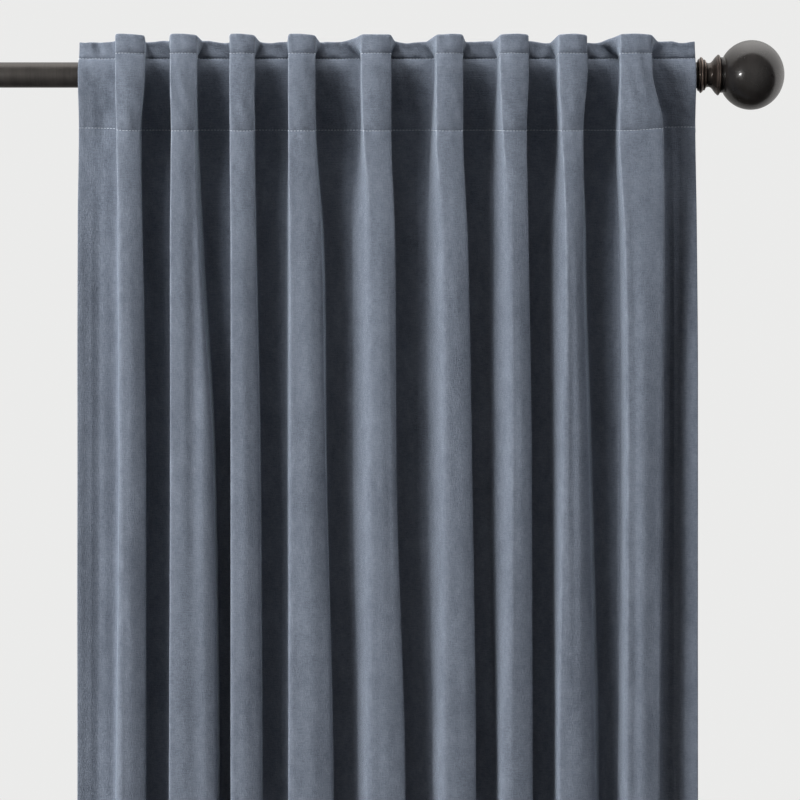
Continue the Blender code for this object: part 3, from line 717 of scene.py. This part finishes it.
def stitch_tree():
    """Short rounded threads laid end to end along a curve."""
    tree = bpy.data.node_groups.new("stitch_row", "GeometryNodeTree")
    tree.interface.new_socket("Geometry", in_out="INPUT", socket_type="NodeSocketGeometry")
    for name in ("Pitch", "Length", "Thickness"):
        tree.interface.new_socket(name, in_out="INPUT", socket_type="NodeSocketFloat")
    tree.interface.new_socket("Finish", in_out="INPUT", socket_type="NodeSocketMaterial")
    tree.interface.new_socket("Geometry", in_out="OUTPUT", socket_type="NodeSocketGeometry")
    given = add(tree, "NodeGroupInput").outputs
    run = {"Curve": given["Geometry"], "Length": given["Pitch"]}
    points = add(tree, "GeometryNodeCurveToPoints", run, mode="LENGTH")
    thread = add(tree, "GeometryNodeMeshUVSphere", {"Segments": 6, "Rings": 4, "Radius": 0.5})
    sides = {"X": given["Thickness"], "Y": given["Thickness"], "Z": given["Length"]}
    size = add(tree, "ShaderNodeCombineXYZ", sides)
    laid = add(
        tree,
        "GeometryNodeInstanceOnPoints",
        {
            "Points": points.outputs["Points"],
            "Instance": thread.outputs["Mesh"],
            "Rotation": points.outputs["Rotation"],
            "Scale": size.outputs["Vector"],
        },
    )
    real = add(tree, "GeometryNodeRealizeInstances", {"Geometry": laid.outputs["Instances"]})
    dyed = {"Geometry": real.outputs["Geometry"], "Material": given["Finish"]}
    dressed = add(tree, "GeometryNodeSetMaterial", dyed)
    smooth = add(tree, "GeometryNodeSetShadeSmooth", {"Geometry": dressed.outputs["Geometry"]})
    outlet = tree.nodes.new("NodeGroupOutput")
    tree.links.new(smooth.outputs["Geometry"], outlet.inputs["Geometry"])
    return tree


STITCHES = stitch_tree()
STITCH = {"Pitch": 3.2 * MM, "Length": 2.7 * MM, "Thickness": 0.55 * MM}


def stitch_rows(name, paths, finish):
    """One piece with a row of stitches along each path."""
    curve = bpy.data.curves.new(name, "CURVE")
    curve.dimensions = "3D"
    for path in paths:
        spline = curve.splines.new("POLY")
        spline.points.add(len(path) - 1)
        spline.points.foreach_set("co", np.c_[path, np.ones(len(path))].ravel())
    made = bpy.data.objects.new(name + "_path", curve)
    bpy.context.scene.collection.objects.link(made)
    step = made.modifiers.new("stitches", "NODES")
    step.node_group = STITCHES
    values = {**STITCH, "Finish": finish}
    for item in STITCHES.interface.items_tree:
        if item.in_out == "INPUT" and item.name in values:
            step[item.identifier] = values[item.name]
    graph = bpy.context.evaluated_depsgraph_get()
    mesh = bpy.data.meshes.new_from_object(made.evaluated_get(graph))
    bpy.data.objects.remove(made, do_unlink=True)
    piece = bpy.data.objects.new(name, mesh)
    bpy.context.scene.collection.objects.link(piece)
    return piece


def nearest_row(height):
    return int(np.argmin(np.abs(ROWS - height)))


def nearest_column(distance):
    return int(np.argmin(np.abs(ALONG - distance)))


def across_path(row, behind, first=0, last=None):
    """A path along the cloth at one row, from column to column."""
    columns = np.arange(len(PLACES))[first:last]
    x, y, z = layer([row], columns, behind)
    return np.stack([x[0], y[0], z[0]], -1)


def down_path(column, behind, top, bottom):
    """A path down the cloth at one column, from height to height."""
    rows = [i for i in range(len(ROWS)) if bottom < ROWS[i] < top]
    x, y, z = layer(rows, [column], behind)
    return np.stack([x[:, 0], y[:, 0], z[:, 0]], -1)


def lining_seams():
    """Cream stitches down both sides of the lining and along its own bottom hem."""
    behind = LINING_BEHIND + LINING_THICKNESS + 0.1 * MM
    top, bottom = LOWER_SEAM - 8 * MM, PANEL_FOOT + LINING_RISE + 3 * MM
    left = nearest_column(LINING_MARGIN + SEAM_MARGIN)
    right = nearest_column(LENGTH_ACROSS - LINING_MARGIN - SEAM_MARGIN)
    sides = [down_path(column, behind, top, bottom) for column in (left, right)]
    hem = across_path(nearest_row(PANEL_FOOT + LINING_RISE + LINING_HEM), behind, left, right + 1)
    return stitch_rows("lining_stitching", [*sides, hem], cream_thread)


# ---------------------------------------------------------------- turned and threaded hardware

def lathe(name, outline, centre, outward, segments, finish, closed=True, rubbed=None, smooth_angle=35):
    """Turn an outline of (distance along X, radius) round an axis through centre, building outward."""
    bm = bmesh.new()
    wear = bm.verts.layers.float.new("rubbed") if rubbed else None
    rings = []
    for number, (distance, radius) in enumerate(outline):
        ring = []
        for i in range(segments):
            turn = math.tau * i / segments
            spot = Vector((outward * distance, radius * math.cos(turn), radius * math.sin(turn)))
            vert = bm.verts.new(Vector(centre) + spot)
            if wear:
                vert[wear] = rubbed[number]
            ring.append(vert)
        rings.append(ring)
    pairs = list(zip(rings, rings[1:]))
    if closed:
        pairs.append((rings[-1], rings[0]))
    for near, far in pairs:
        for i in range(segments):
            j = (i + 1) % segments
            bm.faces.new((near[i], near[j], far[j], far[i]))
    if not closed:
        bm.faces.new(rings[0])
        bm.faces.new(rings[-1])
    return mesh_object(name, bm, finish, smooth_angle)


def arc_points(centre, radius, start, end, steps):
    """Points (distance, radius) along an arc in the outline's plane."""
    turns = [start + (end - start) * i / steps for i in range(steps + 1)]
    return [(centre[0] + radius * math.cos(turn), centre[1] + radius * math.sin(turn)) for turn in turns]


def smooth_outline(points, steps):
    """A rounded curve through the outline's own points."""
    points = [Vector(point) for point in points]
    padded = [2 * points[0] - points[1]] + points + [2 * points[-1] - points[-2]]
    curve = []
    for a, b, c, d in zip(padded, padded[1:], padded[2:], padded[3:]):
        for i in range(steps):
            t = i / steps
            bend = (2 * a - 5 * b + 4 * c - d) * t**2 + (3 * b - a - 3 * c + d) * t**3
            spot = 0.5 * (2 * b + (c - a) * t + bend)
            curve.append((spot.x, spot.y))
    return curve + [tuple(points[-1])]


# neck from the rod outwards, (distance, radius) in mm
NECK = (
    (0.0, 12.9), (0.8, 13.6), (1.4, 15.3), (2.1, 16.2), (2.7, 15.9), (3.3, 16.9),    # two raised rings
    (4.2, 18.1), (5.1, 17.7), (6.2, 16.6), (6.9, 15.0), (7.4, 15.4), (8.4, 15.3),    # the bead and a fillet
    (9.0, 14.0), (9.8, 12.8), (11.2, 12.1), (13.0, 12.1), (14.8, 12.9),              # the waist
    (16.4, 14.6), (18.0, 16.8), (19.6, 18.7),                                        # the flare
    (20.7, 19.6), (21.3, 20.3), (22.3, 20.3), (23.0, 19.4), (23.5, 18.2),            # the flange
)
STUD_BORE = 3.3 * MM         # radius of the hole for the threaded stud
BORE_DEPTH = 16.3 * MM
POLE = 0.05 * MM             # a turned end closes in a disc this small
BALL_PROUD = 0.3 * MM
BALL_SQUEEZE = 0.95          # the ball is turned a little shorter than it is wide
BALL_STEPS = 44
COLLAR_LENGTH = 3.6 * MM     # the grooved collar between the neck and the ball
COLLAR_RADIUS = 17.9 * MM
COLLAR_LIP = 0.3 * MM
COLLAR_STEPS = 18
GROOVES = 3
TUBE_WALL = 1.0 * MM
TUBE_LIP = 0.3 * MM          # radius of a tube's rolled lips


def rubbed_edges(radii):
    """1 on each raised ring of a turned outline, where handling rubs the finish off, and 0 in hollows."""
    rubbed = []
    for i, radius in enumerate(radii):
        around = radii[max(0, i - 5) : i + 6]
        peak = radius - sum(around) / len(around)
        rubbed.append(min(1.0, max(0.0, (peak - 0.15 * MM) / (0.7 * MM))))
    return rubbed


def finial_neck(side, body, outward):
    """The turned neck between the rod and the ball."""
    low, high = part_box(f"finial_neck_{side}")
    start = low.x if outward > 0 else high.x
    outline = smooth_outline([(x * MM, r * MM) for x, r in NECK], 4)
    rubbed = [0.0] + rubbed_edges([r for _, r in outline]) + [0.0]
    outline = [(0.0, STUD_BORE)] + outline + [(outline[-1][0], STUD_BORE)]
    centre = (start, ROD_Y, ROD_Z)
    name = f"turned_neck_{side}"
    neck = lathe(name, outline, centre, outward, 64, neck_bronze, rubbed=rubbed, smooth_angle=60)
    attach(neck, body)
    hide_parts(f"finial_neck_{side}")


def finial_ball(side, body, outward):
    """The ball with its grooved collar, bored for the stud."""
    low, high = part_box(f"finial_ball_{side}")
    start = low.x if outward > 0 else high.x
    radius = (high.z - low.z) / 2 + BALL_PROUD
    length = high.x - low.x - 2 * radius * (1 - BALL_SQUEEZE)
    outline = [(BORE_DEPTH, POLE), (BORE_DEPTH, STUD_BORE), (0.0, STUD_BORE)]
    outline += [(0.0, COLLAR_RADIUS - 1.0 * MM), (0.25 * MM, COLLAR_RADIUS - 0.4 * MM)]
    for i in range(COLLAR_STEPS + 1):
        share = i / COLLAR_STEPS
        groove = 0.45 * MM * (1 - math.cos(math.tau * GROOVES * share)) / 2
        outline.append((COLLAR_LIP + (COLLAR_LENGTH - COLLAR_LIP) * share, COLLAR_RADIUS - groove))
    first = math.pi - math.asin(COLLAR_RADIUS / radius)
    middle_x = length - radius * BALL_SQUEEZE
    bulge = arc_points((0.0, 0.0), radius, first, 0.0, BALL_STEPS)[1:-1]
    outline += [(middle_x + x * BALL_SQUEEZE, r) for x, r in bulge]
    outline.append((length, POLE))
    centre = (start, ROD_Y, ROD_Z)
    ball = lathe(f"turned_ball_{side}", outline, centre, outward, 96, ball_bronze, closed=False)
    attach(ball, body)
    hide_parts(f"finial_ball_{side}")


def tube(name, node, body, outside):
    """A drawn tube with rolled lips."""
    low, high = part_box(node)
    length = high.x - low.x
    quarter = math.pi / 2
    inside = outside - TUBE_WALL
    rim = outside - TUBE_LIP
    outline = [(TUBE_LIP, inside), (0.0, inside + TUBE_LIP)]
    outline += arc_points((TUBE_LIP, rim), TUBE_LIP, math.pi, quarter, 3)
    outline += [(length * share, outside) for share in (0.25, 0.5, 0.75)]
    outline += arc_points((length - TUBE_LIP, rim), TUBE_LIP, quarter, 0.0, 3)
    outline += [(length, inside + TUBE_LIP), (length - TUBE_LIP, inside)]
    made = lathe(name, outline, (low.x, ROD_Y, ROD_Z), 1, 72, rod_bronze)
    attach(made, body)
    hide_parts(node)


def softened(name, node, body, finish, width=0.5 * MM):
    """A node's own shape with its sharp edges broken."""
    bm = bmesh.new()
    bm.from_mesh(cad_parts[node].data)
    bmesh.ops.remove_doubles(bm, verts=bm.verts, dist=1e-5)
    bmesh.ops.dissolve_limit(bm, angle_limit=math.radians(1), verts=bm.verts, edges=bm.edges)
    made = mesh_object(name, bm, finish, 30)
    step = made.modifiers.new("broken_edges", "BEVEL")
    step.width = width
    step.segments = 2
    step.limit_method = "ANGLE"
    step.angle_limit = math.radians(40)
    step.harden_normals = False
    step.use_clamp_overlap = True
    apply_modifiers(made)
    made.data.materials.clear()
    made.data.materials.append(finish)
    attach(made, body)
    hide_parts(node)


# ---------------------------------------------------------------- back tabs

def tab_loop(number, body):
    """A strip of cloth, sewn at both seams, that passes behind the rod."""
    node = TABS[number]
    low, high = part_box(node)
    centre = (low.x + high.x) / 2
    half = (high.x - low.x) / 2
    row, below_row = nearest_row(UPPER_SEAM), nearest_row(LOWER_SEAM)
    from_centre = np.abs(PANEL_LEFT + SIDE_INSET + ACROSS[row] - centre)
    column = int(np.argmin(from_centre + (FORWARD[row] > 0.2)))     # the nearest that isn't on a pleat
    behind = FACING_BEHIND + TAB_GAP
    upper = Vector((FACE_Y[row, column] + behind - ROD_Y, UPPER_SEAM - ROD_Z))
    lower = Vector((FACE_Y[below_row, column] + behind - ROD_Y, LOWER_SEAM - ROD_Z))
    first = math.atan2(upper.y, upper.x) - math.acos(min(1.0, TAB_RADIUS / upper.length))
    last = math.atan2(lower.y, lower.x) + math.acos(min(1.0, TAB_RADIUS / lower.length))
    path = [(upper.x, upper.y + rise * MM) for rise in (2, 1, 0)]
    path += arc_points((0.0, 0.0), TAB_RADIUS, first, last, 30)
    touch = path[-1]
    for share in np.linspace(0, 1, 9)[1:]:
        path.append((touch[0] + (lower.x - touch[0]) * share, touch[1] + (lower.y - touch[1]) * share))
    path += [(lower.x, lower.y - drop * MM) for drop in (1, 2)]
    path = np.array(path)
    across = np.concatenate([[-1.0, -0.97], np.linspace(-0.9, 0.9, 9), [0.97, 1.0]]) * half
    run = np.gradient(path, axis=0)
    side = np.stack([-run[:, 1], run[:, 0]], -1)
    side /= np.linalg.norm(side, axis=1, keepdims=True)
    edge_lift = 0.15 * MM * (np.abs(across) / half > 0.85)
    along = np.concatenate([[0], np.cumsum(np.linalg.norm(np.diff(path, axis=0), axis=1))])
    x = centre + across[None, :] + 0 * along[:, None]
    y = ROD_Y + path[:, 0][:, None] + side[:, 0][:, None] * edge_lift[None, :]
    z = ROD_Z + path[:, 1][:, None] + side[:, 1][:, None] * edge_lift[None, :]
    u, v = across[None, :] + centre, along[:, None]
    made = grid_object(f"tab_loop_{number + 1:02d}", x, y, z, u, v, tab_cloth)
    wall = made.modifiers.new("thickness", "SOLIDIFY")
    wall.thickness = TAB_THICKNESS
    wall.offset = 0
    apply_modifiers(made)
    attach(made, body)
    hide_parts(node)


# ---------------------------------------------------------------- put it together


def build_cloth():
    face, face_flat = velvet_panel()
    lining, lining_flat = lining_panel()
    upper, lower = nearest_row(UPPER_SEAM), nearest_row(LOWER_SEAM)
    proud = -0.15 * MM
    seam_paths = [across_path(upper, proud), across_path(lower, proud)]
    seams = stitch_rows("header_stitching", seam_paths, blue_thread)
    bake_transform(face)
    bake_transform(lining)
    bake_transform(seams)
    hems = lining_seams()
    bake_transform(hems)
    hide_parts(*FACE_FOLDS)
    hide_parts(*LINING_FOLDS)
    for number, body in enumerate(TAB_BODIES):
        tab_loop(number, body)


def build_hardware():
    tube("rod_wide_tube", "rod_outer_tube", "root", ROD_RADIUS)
    tube("rod_narrow_tube", "rod_inner_tube", "inner_rod", NARROW_RADIUS)
    for side, outward in (("right", 1), ("left", -1)):
        finial_neck(side, f"finial_{side}", outward)
        finial_ball(side, f"finial_{side}", outward)
    for side in ("right", "left"):
        softened(f"wall_plate_{side}", f"bracket_plate_{side}", "root", bracket_bronze)
        softened(f"rod_cradle_{side}", f"bracket_cradle_{side}", "root", bracket_bronze)
        softened(f"arm_{side}", f"bracket_arm_{side}", "root", bracket_bronze, 0.3 * MM)
        clamp = f"clamp_screw_{side}"
        softened(f"thumb_screw_{side}", clamp, f"clamp_{side}", zinc, 0.3 * MM)
        for level in ("upper", "lower"):
            node = f"wall_screw_{level}_{side}"
            softened(f"fixing_{level}_{side}", node, "root", zinc, 0.2 * MM)
    plain = {
        "rod_tube_bush": nylon, "rod_plug_right": nylon, "rod_plug_left": nylon,
        "finial_stud_right": zinc, "finial_stud_left": zinc,
    }
    for node, finish in plain.items():
        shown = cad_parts[node]
        shown.data.materials.clear()
        shown.data.materials.append(finish)


# ---------------------------------------------------------------- room, light and camera

MIDDLE = Vector((-0.24, ROD_Y, -0.3))       # what the lamps are turned to
FLOOR_REACH = 6.0
FLOOR_GAP = 15 * MM          # below the panel's foot


def room():
    """A pale floor, with a little light of its own where the lamps don't reach."""
    mesh = bpy.data.meshes.new("floor")
    level = PANEL_FOOT - FLOOR_GAP
    corners = [(x * FLOOR_REACH, y * FLOOR_REACH, level) for x, y in ((-1, -1), (1, -1), (1, 1), (-1, 1))]
    mesh.from_pydata(corners, [], [(0, 1, 2, 3)])
    floor = bpy.data.objects.new("floor", mesh)
    made, tree, shader = finish_nodes("pale_floor", roughness=0.7)
    shader.inputs["Base Color"].default_value = (0.50, 0.495, 0.485, 1)
    seen = add(tree, "ShaderNodeLightPath").outputs["Is Camera Ray"]
    shader.inputs["Emission Color"].default_value = (0.83, 0.83, 0.82, 1)
    tree.links.new(math_node(tree, "MULTIPLY", seen, 0.2), shader.inputs["Emission Strength"])
    mesh.materials.append(made)
    bpy.context.scene.collection.objects.link(floor)
    floor.visible_glossy = False


def backdrop(tree, colour, strength):
    return add(tree, "ShaderNodeBackground", {"Color": (*colour, 1), "Strength": strength}).outputs[0]


def soft_light(tree, part):
    """What lights the pieces: a dim ceiling and a warmer, brighter wall behind the curtain."""
    ceiling = remap(tree, part["Z"], 0.3, 0.95, 0.0, 0.16)
    wall = remap(tree, part["Y"], 0.35, 0.9, 0.0, 0.45)
    glow = math_node(tree, "ADD", math_node(tree, "ADD", ceiling, wall), 0.05)
    return backdrop(tree, (1.0, 0.82, 0.70), glow)


def mirrored_room(tree, part):
    """What polished pieces mirror: a pale room above, behind and to the right, and a dim viewer's side."""
    up = math_node(tree, "MAXIMUM", part["Z"], 0)
    aside = math_node(tree, "MAXIMUM", part["X"], 0)
    near = math_node(tree, "MAXIMUM", math_node(tree, "MULTIPLY", part["Y"], -1), 0)
    edge = math_node(tree, "ADD", math_node(tree, "MULTIPLY", part["Y"], 1.8), part["Z"])
    edge = math_node(tree, "ADD", edge, math_node(tree, "MULTIPLY", aside, 0.5))
    lit = add(
        tree, "ShaderNodeMapRange",
        {"Value": edge, "From Min": 0.08, "From Max": 0.55, "To Min": 0.0, "To Max": 1.0},
        interpolation_type="SMOOTHSTEP",
    ).outputs["Result"]
    cap = math_node(tree, "MULTIPLY", math_node(tree, "POWER", up, 3), 1.6)
    side = math_node(tree, "MULTIPLY", math_node(tree, "POWER", aside, 2), 0.75)
    glow = math_node(tree, "ADD", math_node(tree, "ADD", cap, side), 0.28)
    viewer = math_node(tree, "MULTIPLY", math_node(tree, "POWER", near, 2), 0.35)
    strength = math_node(tree, "ADD", math_node(tree, "MULTIPLY", lit, glow), viewer)
    return backdrop(tree, (1.0, 0.98, 0.96), strength)


def sky():
    """The room around: one glow for lighting, one for mirroring and a plain pale one to look at."""
    world = bpy.data.worlds.new("room")
    bpy.context.scene.world = world
    world.use_nodes = True
    tree = world.node_tree
    tree.nodes.clear()
    way = add(tree, "ShaderNodeTexCoord").outputs["Generated"]
    part = add(tree, "ShaderNodeSeparateXYZ", {"Vector": way}).outputs
    path = add(tree, "ShaderNodeLightPath").outputs
    lighting, reflected = soft_light(tree, part), mirrored_room(tree, part)
    seen = backdrop(tree, (0.832, 0.832, 0.825), 1.0)
    soft = add(tree, "ShaderNodeMixShader", {0: path["Is Glossy Ray"], 1: lighting, 2: reflected})
    both = add(tree, "ShaderNodeMixShader", {0: path["Is Camera Ray"], 1: soft.outputs[0], 2: seen})
    outlet = tree.nodes.new("ShaderNodeOutputWorld")
    tree.links.new(both.outputs[0], outlet.inputs["Surface"])


def towards(turn, rise, distance):
    """A place this many degrees left of the panel's front and above it, this far from its middle."""
    turn, rise = math.radians(turn), math.radians(rise)
    way = Vector((-math.sin(turn) * math.cos(rise), -math.cos(turn) * math.cos(rise), math.sin(rise)))
    return MIDDLE + way * distance


def lamp(name, size, power, place, target=MIDDLE, colour=(1, 1, 1), mirrored=False):
    """A soft lamp: a disc of one size across, or a rectangle of two."""
    light = bpy.data.lights.new(name, "AREA")
    light.shape = "DISK" if len(size) == 1 else "RECTANGLE"
    light.size = size[0]
    if len(size) == 2:
        light.size_y = size[1]
    light.energy = power
    light.color = colour
    made = bpy.data.objects.new(name, light)
    made.location = place
    made.visible_camera = False
    made.visible_glossy = mirrored
    made.rotation_euler = (Vector(target) - Vector(place)).to_track_quat("-Z", "Y").to_euler()
    bpy.context.scene.collection.objects.link(made)


def lights():
    """Soft daylight from the left, with a cool fill from the right and one from behind."""
    lamp("key", (0.34,), 40, towards(46, 2, 4.2), mirrored=True)
    lamp("glow", (2.6,), 128, towards(50, 4, 4.2))
    lamp("high", (1.4,), 125, towards(48, 50, 4.0))
    lamp("window", (1.0, 1.6), 46, towards(71, 4, 2.6))
    lamp("fill", (1.4,), 30, towards(-63, 4, 3.4), colour=(0.90, 0.93, 1.0))
    lamp("back", (2.2,), 85, towards(172, 25, 4.0), colour=(0.84, 0.92, 1.0))
    above_rod = (MIDDLE.x, ROD_Y - 0.12, ROD_Z + 0.9)
    lamp("overhead", (1.5, 0.5), 13, above_rod, (MIDDLE.x, ROD_Y - 0.02, ROD_Z))


CAMERA_PLACE = (-0.2419, ROD_Y - 2.5, ROD_Z - 0.3276)    # 2.5 m in front of the rod
FOCAL_LENGTH = 111.6


def camera():
    """Square on to the panel."""
    lens = bpy.data.cameras.new("camera")
    lens.lens = FOCAL_LENGTH
    lens.sensor_width = 36
    made = bpy.data.objects.new("camera", lens)
    made.location = CAMERA_PLACE
    made.rotation_euler = (math.pi / 2, 0, 0)
    bpy.context.scene.collection.objects.link(made)
    bpy.context.scene.camera = made
    bpy.context.scene.view_settings.view_transform = "Standard"


camera()
build_cloth()
build_hardware()
room()
sky()
lights()
